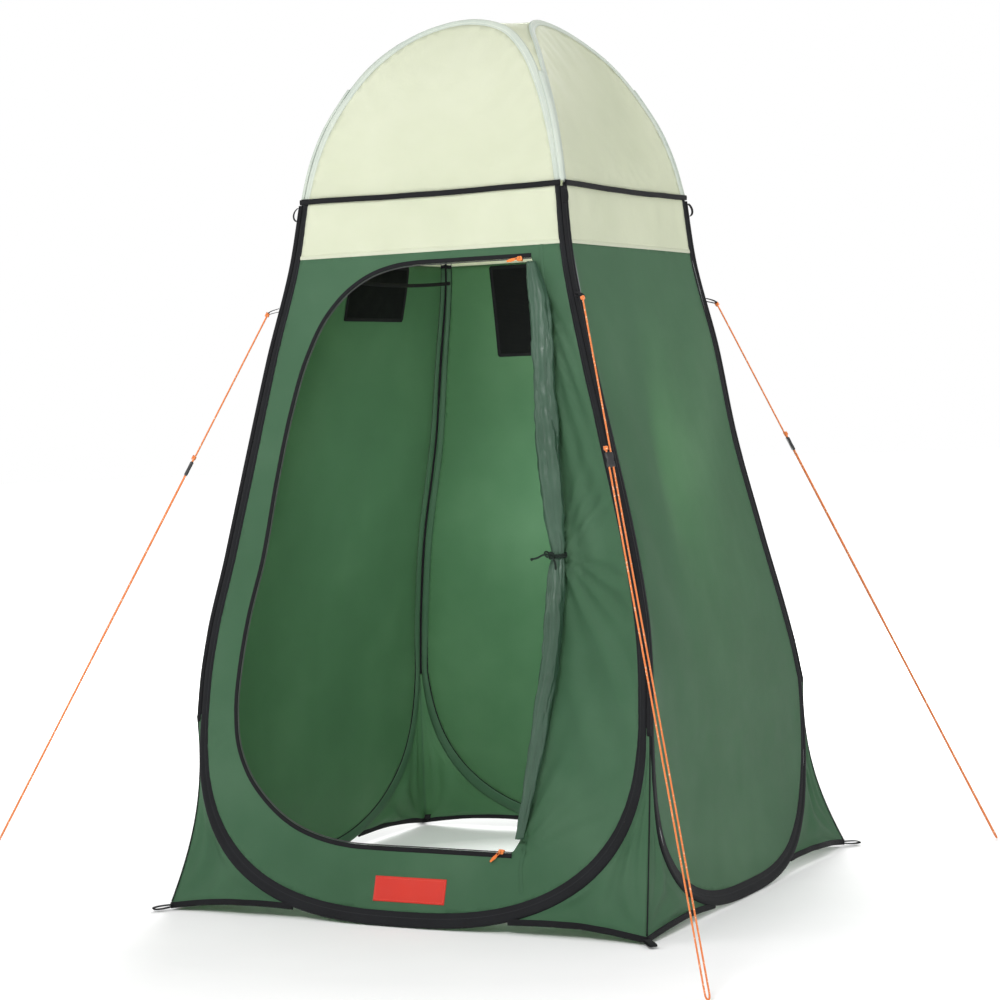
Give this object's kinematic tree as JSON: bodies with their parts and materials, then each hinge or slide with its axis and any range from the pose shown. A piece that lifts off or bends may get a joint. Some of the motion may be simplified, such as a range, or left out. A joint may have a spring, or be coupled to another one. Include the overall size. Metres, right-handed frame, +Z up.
{
  "type": "privacy shower tent",
  "caption": "Tall pop-up privacy shower tent with spring hoops, pale domed roof, zipped D-shaped door, mesh windows, corner gussets with peg loops and guy lines.",
  "frame": {"origin": "on the ground under the middle of the tent", "axes": "+Z up; the door wall faces -Y; +X to the right of someone facing the door"},
  "size_m": [1.9107, 1.8951, 2.034],
  "materials": {
    "green_fabric": "thin coated polyester, soft sheen",
    "cream_fabric": "thin pale polyester, slightly translucent",
    "grey_tape": "pale sleeve tape",
    "black_webbing": "black woven tape and sleeve cloth",
    "black_mesh": "fine black netting",
    "spring_steel": "flat spring steel band",
    "zip_nylon": "nylon coil",
    "zip_metal": "orange lacquered slider",
    "orange_pull": "orange pull tape",
    "orange_cord": "braided orange cord",
    "black_plastic": "moulded black plastic",
    "red_label": "woven plain label"
  },
  "bodies": {
    "tent": {"arch_sleeve_back": "grey_tape", "arch_sleeve_front": "grey_tape", "arch_sleeve_left": "grey_tape", "arch_sleeve_right": "grey_tape", "band_back": "cream_fabric", "band_front": "cream_fabric", "band_left": "cream_fabric", "band_right": "cream_fabric", "corner_bindings": "black_webbing", "dome_panel_back": "cream_fabric", "dome_panel_front": "cream_fabric", "dome_panel_left": "cream_fabric", "dome_panel_right": "cream_fabric", "door_hinge_tape": "green_fabric", "door_leaf": "green_fabric", "door_tie": "black_webbing", "door_tie_knot": "black_webbing", "gusset_bl": "green_fabric", "gusset_br": "green_fabric", "gusset_fl": "green_fabric", "gusset_fr": "green_fabric", "gusset_hems": "black_webbing", "guy_knots": "orange_cord", "guy_line_bl": "orange_cord", "guy_line_br": "orange_cord", "guy_line_fl": "orange_cord", "guy_line_fr": "orange_cord", "guy_tabs": "black_webbing", "hoop_back": "spring_steel", "hoop_ferrules": "spring_steel", "hoop_front": "spring_steel", "hoop_left": "spring_steel", "hoop_right": "spring_steel", "hoop_sleeve_back": "black_webbing", "hoop_sleeve_front": "black_webbing", "hoop_sleeve_left": "black_webbing", "hoop_sleeve_right": "black_webbing", "label": "red_label", "peg_loops": "black_webbing", "ring_binding": "black_webbing", "ring_tabs": "black_webbing", "roof_patch": "cream_fabric", "towel_strap": "black_webbing", "wall_back": "green_fabric", "wall_front": "green_fabric", "wall_left": "green_fabric", "wall_right": "green_fabric", "window_mesh_back": "black_mesh", "window_mesh_left": "black_mesh", "zip_coil": "zip_nylon", "zip_tape": "black_webbing"},
    "upper_slider": {"zip_slider_upper": "zip_metal"},
    "upper_pull": {"zip_pull_upper": "orange_pull"},
    "lower_slider": {"zip_slider_lower": "zip_metal"},
    "lower_pull": {"zip_pull_lower": "orange_pull"},
    "tensioner_fl": {"tensioner_fl": "black_plastic"},
    "tensioner_fr": {"tensioner_fr": "black_plastic"},
    "tensioner_br": {"tensioner_br": "black_plastic"},
    "tensioner_bl": {"tensioner_bl": "black_plastic"}
  },
  "joints": [
    {"name": "upper_zip_slide", "type": "slide", "parent": "tent", "child": "upper_slider", "axis": [-1, 0, 0], "range_m": [0, 0.17]},
    {"name": "upper_pull_hinge", "type": "hinge", "parent": "upper_slider", "child": "upper_pull", "pos_m": [0.238, -0.36703, 1.45895], "axis": [0, 0.1441, 0.9896], "range_deg": [0, 150]},
    {"name": "lower_zip_slide", "type": "slide", "parent": "tent", "child": "lower_slider", "axis": [-1, 0, 0], "range_m": [0, 0.17]},
    {"name": "lower_pull_hinge", "type": "hinge", "parent": "lower_slider", "child": "lower_pull", "pos_m": [0.24, -0.56181, 0.16988], "axis": [0, 0.285, 0.9585], "range_deg": [0, 150]},
    {"name": "tensioner_slide_fl", "type": "slide", "parent": "tent", "child": "tensioner_fl", "axis": [-0.3609, -0.3339, -0.8708], "range_m": [0, 0.35]},
    {"name": "tensioner_slide_fr", "type": "slide", "parent": "tent", "child": "tensioner_fr", "axis": [0.323, -0.3858, -0.8642], "range_m": [0, 0.35]},
    {"name": "tensioner_slide_br", "type": "slide", "parent": "tent", "child": "tensioner_br", "axis": [0.3556, 0.2698, -0.8948], "range_m": [0, 0.35]},
    {"name": "tensioner_slide_bl", "type": "slide", "parent": "tent", "child": "tensioner_bl", "axis": [-0.3596, 0.3122, -0.8793], "range_m": [0, 0.35]}
  ]
}
